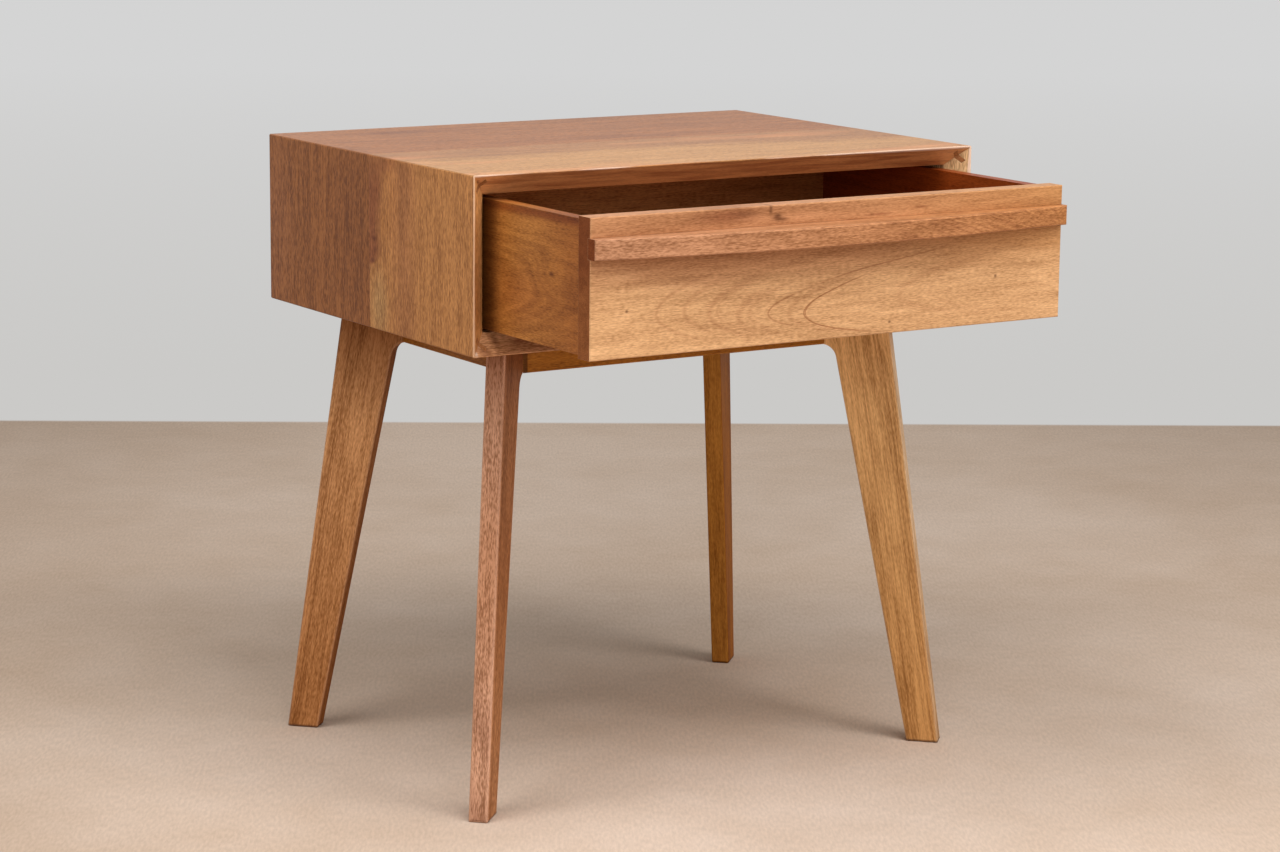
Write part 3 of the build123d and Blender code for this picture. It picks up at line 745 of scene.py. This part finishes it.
def dress_leg(name, leg):
    """Straight-grained timber on one leg, its grain leaning inwards with it."""
    low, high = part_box(f"leg_{name}")
    sx, sy = leg["corner"]
    foot = Vector((low.x if sx < 0 else high.x, low.y if sy < 0 else high.y, 0))
    inward = Vector((-sx, -sy, 0)).normalized()

    def leg_marks(tree, point, radius, colour):
        """Late-wood lines, deeper foot, painted shade on broad faces and inner edge, painted shadow under the
        case and at the floor.
        """
        for at, depth in late_wood:
            colour = stain(tree, colour, ring_line(tree, radius, at, 1.2), depth, "8f5f40")
        along = add(tree, "SeparateXYZ", (point,)).outputs[0]
        lower = add(tree, "MapRange", (along, 340, 40, 0, 1)).outputs["Result"]
        colour = stain(tree, colour, lower, leg["deeper_foot"], "e5d6c4")
        colour = stain(tree, colour, patch(tree, point, (230, 40), (150, 120)), leg["ruddy"], "ecdcc8")
        coordinates = add(tree, "TexCoord").outputs
        inwards = add(tree, "VectorMath", (coordinates["Normal"], inward), operation="DOT_PRODUCT")
        inwards = inwards.outputs["Value"]
        # painted shade on the inner edge
        painted_inner_shade = add(tree, "MapRange", (inwards, 0.5, 0.8, 0, 1)).outputs["Result"]
        colour = stain(tree, colour, painted_inner_shade, leg["inner_edge_painted_shade"], "c4a47c")
        edge_on = add(tree, "Math", (inwards,), operation="ABSOLUTE")
        # painted shade on the wide faces, where light falls less
        painted_broad_shade = add(tree, "MapRange", (edge_on, 0.5, 0.8, 1, 0)).outputs["Result"]
        colour = stain(tree, colour, painted_broad_shade, 1.0, "efdab5")
        # painted shadow close under the case
        painted_case_shadow = add(tree, "MapRange", (along, leg["shade_from"], leg_top_mm, 0, 1)).outputs["Result"]
        colour = stain(tree, colour, painted_case_shadow, leg["shaded"], "a08670")
        height = add(tree, "SeparateXYZ", (coordinates["Object"],)).outputs[2]
        # painted contact shadow along the lowest millimetres of the foot
        painted_contact_shadow = add(tree, "MapRange", (height, 1.5 * MM, 3 * MM, 1, 0)).outputs["Result"]
        return stain(tree, colour, painted_contact_shadow, 0.8, "6a5040")

    along = Vector((0, 0, 1)) + grain_lean * inward
    timber(f"oiled_mahogany_leg_{name}", [f"leg_{name}"], grain(foot, along, inward), leg["tone"],
           (-200, -10), warp=7, bands=0.5, streak=1.3, mottle=0.5, fibre=0.7, fleck=leg["fleck"], pores=0.18,
           edge_wear_and_highlight=leg["edge_wear_and_highlight"], ease=3.5, marks=leg_marks, rough=0.5, ior=leg["ior"])


for name, leg in leg_wood.items():
    dress_leg(name, leg)
print("dressed", len(leg_wood), "legs")

# %% [markdown]
# The rails hide under the case. They are plain straight-grained pieces of the same
# wood, a little darker because they were picked for strength and not for show. A
# narrow dark band at the end of each, beside the leg, is a painted shade.

# %% Rails
def rail_marks(tree, point, radius, colour):
    """A painted shade: a dark band beside the leg."""
    along = add(tree, "SeparateXYZ", (point,)).outputs[0]
    # painted shade: a dark band over the first millimetres beside the leg
    painted_shade_beside_leg = add(tree, "MapRange", (along, 4.2, 5.8, 1, 0)).outputs["Result"]
    return stain(tree, colour, painted_shade_beside_leg, 1.0, "a09888")


rails = {"front": (1, 0, 0), "back": (1, 0, 0), "left": (0, 1, 0), "right": (0, 1, 0)}
for name, along in rails.items():
    place = grain(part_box(f"rail_{name}")[0], along, (0, 0, 1))
    timber(f"oiled_mahogany_rail_{name}", [f"rail_{name}"], place, "9d621f", (90, -60), marks=rail_marks)
print("dressed", len(rails), "rails")

# %% [markdown]
# The drawer front is the board that everyone sees, and it was sawn so that the rings
# run nearly flat along its face. They show as arches that open to the right and as
# ovals round a swell at the left. The measure starts at the middle of its lower
# edge. Towards the top the board turns redder, with a knot and a smoky patch; the
# lower edge of that redder part, just below the pull, is also a painted shade below
# the pull. The single arches stand in a small table: apex, spread, width and depth
# of the line, and the oval in which it shows.

# %% Drawer front
front_low, front_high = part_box("drawer_front")
face_place = grain((0, front_low.y, front_low.z), (1, 0, 0), (0, 0, 1))
print("drawer front", [round(v / MM, 1) for v in front_high - front_low])

drawn_arches = (
    ((-34, 26), 9, 1.0, 1.0, (2, 29), (90, 46)), ((-32.5, 26), 9, 1.0, 0.7, (-30, 28), (22, 14)),
    ((-72, 28), 7, 1.6, 0.6, (-60, 31), (40, 28)), ((-72, 28), 7, 1.2, 0.6, (20, 66), (160, 36)),
    ((-92, 29), 12, 4, 0.25, (-68, 32), (60, 36)), ((-104, 28), 13, 6, 0.3, (-87, 31), (42, 30)),
    ((-134, 32), 14, 4, 0.4, (-102, 35), (80, 43)), ((-126, 33), 12, 2, 0.3, (-102, 36), (60, 36)),
    ((-160, 35), 15, 4, 0.3, (-136, 38), (60, 36)), ((-188, 35), 15, 2.5, 0.4, (-156, 38), (80, 43)),
    ((-50, 27), 9, 4, 0.25, (-6, 30), (110, 53)), ((70, 34), 8, 5, 0.2, (114, 37), (110, 53)),
    ((104, 37), 10, 4, 0.15, (148, 40), (110, 53)),
)
knot = (((-64, 111), (8, 5), 0.8), ((-58, 109), (9, 2.5), 0.6), ((-71, 118), (3, 9), 0.6),
        ((-90, 104), (28, 1.6), 0.4), ((-98, 115), (22, 4), 0.3))
pin_knots = ((-218, 40), (60, 10), (179, 43))


def drawer_front_marks(tree, point, radius, colour):
    """Redder upper part, its lower edge also a painted shade below the pull, arched late-wood lines, a knot
    and pin knots.
    """
    along, height_up = add(tree, "SeparateXYZ", (point,)).outputs[:2]
    wander = lumps(tree, point, (120, 25, 25), 2)
    height_up = add(tree, "Math", (wander, 40, height_up), operation="MULTIPLY_ADD")
    # redder upper part; its lower edge below the pull is also a painted shade
    upper_and_painted_shade = add(tree, "MapRange", (height_up, 62, 108, 0, 1), interpolation_type="SMOOTHSTEP")
    redness = add(tree, "MapRange", (along, -60, 240, 1, 0)).outputs["Result"]
    redness = add(tree, "Math", (redness, upper_and_painted_shade), operation="MULTIPLY")
    yellower = add(tree, "MapRange", (along, 40, 240, 0, 1)).outputs["Result"]
    yellower = add(tree, "Math", (yellower, upper_and_painted_shade), operation="MULTIPLY")
    colour = stain(tree, colour, yellower, 1.0, "fbf5e8")
    colour = stain(tree, colour, upper_and_painted_shade.outputs["Result"], 1.0, "e4d7cb")
    colour = stain(tree, colour, redness, 1.0, "f8f2fa")
    for apex, spread, width, depth, middle, size in drawn_arches:
        line = arch_line(tree, point, apex, spread, 0.05, width)
        line = add(tree, "Math", (line, patch(tree, point, middle, size)), operation="MULTIPLY")
        colour = stain(tree, colour, line, depth, "a5704c")
    colour = stain(tree, colour, patch(tree, point, (-115, 115), (55, 10)), 0.55, "9a5f4c")
    for centre, size in (((45, 108), (22, 2)), ((18, 104), (24, 2)), ((92, 112), (14, 2))):
        colour = stain(tree, colour, patch(tree, point, centre, size), 0.5, "9a5f4c")
    for centre, size, depth in knot:
        colour = stain(tree, colour, patch(tree, point, centre, size), depth, "6c4a38")
    for centre in pin_knots:
        colour = stain(tree, colour, patch(tree, point, centre, (2.6, 2.2)), 0.75, "5c3828")
    return colour


timber("oiled_mahogany_drawer_front", ["drawer_front"], face_place, "cf9f71", (27.4, -52),
       lean=(-0.07, 0.1), warp=9, swells=(((-120, 36), (80, 30), 8), ((125, 36), (60, 26), -5)),
       band=5, bands=0.4, mottle=0.6, fibre=0.25, fleck=0.9, end_shade="af8b71", marks=drawer_front_marks)
print("drawn arches", len(drawn_arches))

# %% [markdown]
# The pull is a separate strip, bowed in plan, from a pinker piece of wood. The bow
# cuts slantwise through the rings, so its right half shows slanting lines, and it
# turns from pinkish brown at the left to orange brown at the right.

# %% Pull
pull_low, pull_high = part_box("drawer_pull")
half_pull = (pull_high.x - pull_low.x) / 2 / MM


def pull_marks(tree, point, radius, colour):
    """Warmer towards the right, with slanting lines there."""
    along = add(tree, "SeparateXYZ", (point,)).outputs[0]
    to_right = add(tree, "MapRange", (along, -half_pull, half_pull, 0, 1)).outputs["Result"]
    colour = stain(tree, colour, to_right, 1.0, "fdeec5")
    right_half = add(tree, "MapRange", (along, -20, 80, 0, 1)).outputs["Result"]
    slant = add(tree, "Mapping", {"Vector": point, "Rotation": (0, 0, math.radians(20))})
    lines = lumps(tree, slant, (50, 2.2, 8), 2)
    lines = add(tree, "MapRange", (lines, 0.42, 0.66, 0, 1))
    lines = add(tree, "Math", (lines, right_half), operation="MULTIPLY")
    return stain(tree, colour, lines, 0.35, "96634a")


timber("oiled_mahogany_pull", ["drawer_pull"], grain((0, pull_low.y, pull_low.z), (1, 0, 0), (0, 0, 1)),
       "af7c5b", (9, 60), lean=(0, 0.02), streak=1.1, fleck=1.4, mottle=0.6, fibre=0.6, end_shade="ac815d",
       marks=pull_marks)
print("pull", round(2 * half_pull), "mm long")

# %% [markdown]
# The drawer sides are thinner boards. The left one has an orange-brown face with a
# small knot, round which the grain swirls, and a darker band along its top edge.
# Towards the opening and over its rear part it is painted darker, with a dark band
# painted where it meets the edge of the opening: a painted shadow of the case's
# edge. Its front part, near the drawer front, is painted a little darker too, a
# painted shade. The right one shows only its inside, deep red-brown.

# %% Drawer sides
side_low, side_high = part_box("drawer_side_left")
side_top = (side_high.z - side_low.z) / MM
knot_place = (46, 63)
print("drawer side", [round(v / MM, 1) for v in side_high - side_low])


def drawer_side_marks(tree, point, radius, colour):
    """A knot with rings round it, a darker top edge, and painted shade: darker front and rear parts and a
    dark band at the opening.
    """
    inward = add(tree, "SeparateXYZ", (point,)).outputs[0]
    # painted shadow of the case's edge, carried over the rear part
    painted_rear_shade = add(tree, "MapRange", (inward, 115, 165, 0, 1), interpolation_type="SMOOTHERSTEP")
    colour = stain(tree, colour, painted_rear_shade.outputs["Result"], 1.0, "cfc4b8")
    # painted shadow: a dark band at the edge of the opening
    painted_lip_shadow = add(tree, "MapRange", (inward, 124, 160, 0, 1), interpolation_type="SMOOTHERSTEP")
    past_lip = add(tree, "MapRange", (inward, 162, 205, 1, 0), interpolation_type="SMOOTHSTEP")
    painted_lip_shadow = add(tree, "Math", (painted_lip_shadow, past_lip), operation="MULTIPLY")
    colour = stain(tree, colour, painted_lip_shadow, 1.0, "a2a2a4")
    # painted shade on the front part, near the drawer front
    painted_front_shade = add(tree, "MapRange", (inward, 80, 10, 0, 1)).outputs["Result"]
    colour = stain(tree, colour, painted_front_shade, 1.0, "e6d8d4")
    colour = stain(tree, colour, patch(tree, point, (90, side_top - 3), (420, 10)), 0.8, "a87462")
    for at, depth in ((41, 0.2), (49, 0.25), (55.5, 0.3), (60.5, 0.2)):
        colour = stain(tree, colour, ring_line(tree, radius, at, 3), depth, "94603f")
    colour = stain(tree, colour, patch(tree, point, (105, 38), (80, 45)), 0.3, "d8987c")
    colour = stain(tree, colour, patch(tree, point, knot_place, (7, 5)), 0.8, "7c4c2c")
    return colour


timber("oiled_mahogany_drawer_side_left", ["drawer_side_left"], grain(side_low, (0, 1, 0), (0, 0, 1)),
       "af7135", (50, 60), lean=(0.05, -0.16), warp=20, band=6, bands=1.0, streak=1.0, mottle=0.9,
       fibre=0.3, fleck=1.2, swells=((knot_place, (42, 27), 11),), marks=drawer_side_marks)
timber("oiled_mahogany_drawer_side_right", ["drawer_side_right"],
       grain(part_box("drawer_side_right")[0], (0, 1, 0), (0, 0, 1)), "853c15", (40, -60), lean=(0, 0.1))
print("dressed 2 drawer sides")

# %% [markdown]
# The drawer's back and bottom are seen only from above, through the gap that the
# open drawer leaves. The back has a paler tone, partly a painted light that lifts it
# in the shade inside the drawer, and it is painted darker to the right, a painted
# shade. The bottom is the deep brown of a board that was oiled once and then left
# alone.

# %% Drawer back and bottom
def drawer_back_marks(tree, point, radius, colour):
    """A painted shade: darker towards the right end."""
    along = add(tree, "SeparateXYZ", (point,)).outputs[0]
    to_right = add(tree, "MapRange", (along, 200, 480, 0, 1)).outputs["Result"]
    return stain(tree, colour, to_right, 1.0, "cdb8a8")


# the paler tone of the back is partly a painted light
timber("oiled_mahogany_drawer_back", ["drawer_back"],
       grain(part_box("drawer_back")[0], (1, 0, 0), (0, 0, 1)), "ce9960", (50, -70), marks=drawer_back_marks)
timber("oiled_mahogany_drawer_bottom", ["drawer_bottom"],
       grain(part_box("drawer_bottom")[0], (1, 0, 0), (0, 1, 0)), "8a5530", (180, -200))
print("drawer is dressed")

# %% [markdown]
# The rest is seldom seen: the back panel is plywood faced with the same wood, the
# dowels are beech, and the strips that the drawer runs on are waxed, not oiled. The
# splines in the mitres are cut across the grain, so only their darker ends show.

# %% Hidden pieces
timber("mahogany_faced_plywood", ["back_panel"], grain(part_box("back_panel")[0], (1, 0, 0), (0, 0, 1)),
       "9a6440", (60, -300))
timber("beech_dowel", ["rail_dowels", "drawer_front_dowels", "drawer_back_dowels"],
       grain((0, 0, 0), (0, 1, 0), (0, 0, 1)), "c9a67c", (60, -300), fleck=0.2, pores=0.1)
timber("waxed_hardwood_strip", ["runner_left", "runner_right", "drawer_stop_left", "drawer_stop_right"],
       grain((0, 0, 0), (0, 1, 0), (0, 0, 1)), "966239", (60, -300), rough=0.36)
timber("mahogany_spline", ["mitre_splines"], grain((0, 0, 0), (0, 1, 0), (0, 0, 1)),
       "a1683e", (60, -300), end_shade="b4927a", edge_wear_and_highlight=0)
print("hidden pieces are dressed")

# %% [markdown]
# The screws are steel with a thin zinc plating: a pale metal that is neither bright
# nor dull. A metal keeps the default IOR, and its colour is in the reflection.

# %% Screws
spangle_size = 1.5 * MM
zinc, tree = new_material("zinc_plated_steel")
point = add(tree, "TexCoord").outputs["Object"]
spangle = add(tree, "TexNoise", {"Vector": point, "Scale": 1 / spangle_size, "Detail": 2}).outputs["Fac"]
dulled = add(tree, "MapRange", (spangle, 0.3, 0.7, 0.28, 0.42)).outputs["Result"]
surface = add(tree, "BsdfPrincipled", {"Base Color": linear("c9c6bd"), "Metallic": 1.0, "Roughness": dulled})
add(tree, "OutputMaterial", (surface,))
screws = ("back_panel_screws", "base_screws", "pull_screws", "drawer_bottom_screws")
for node in screws:
    dress(node, zinc)
print("dressed", screws)
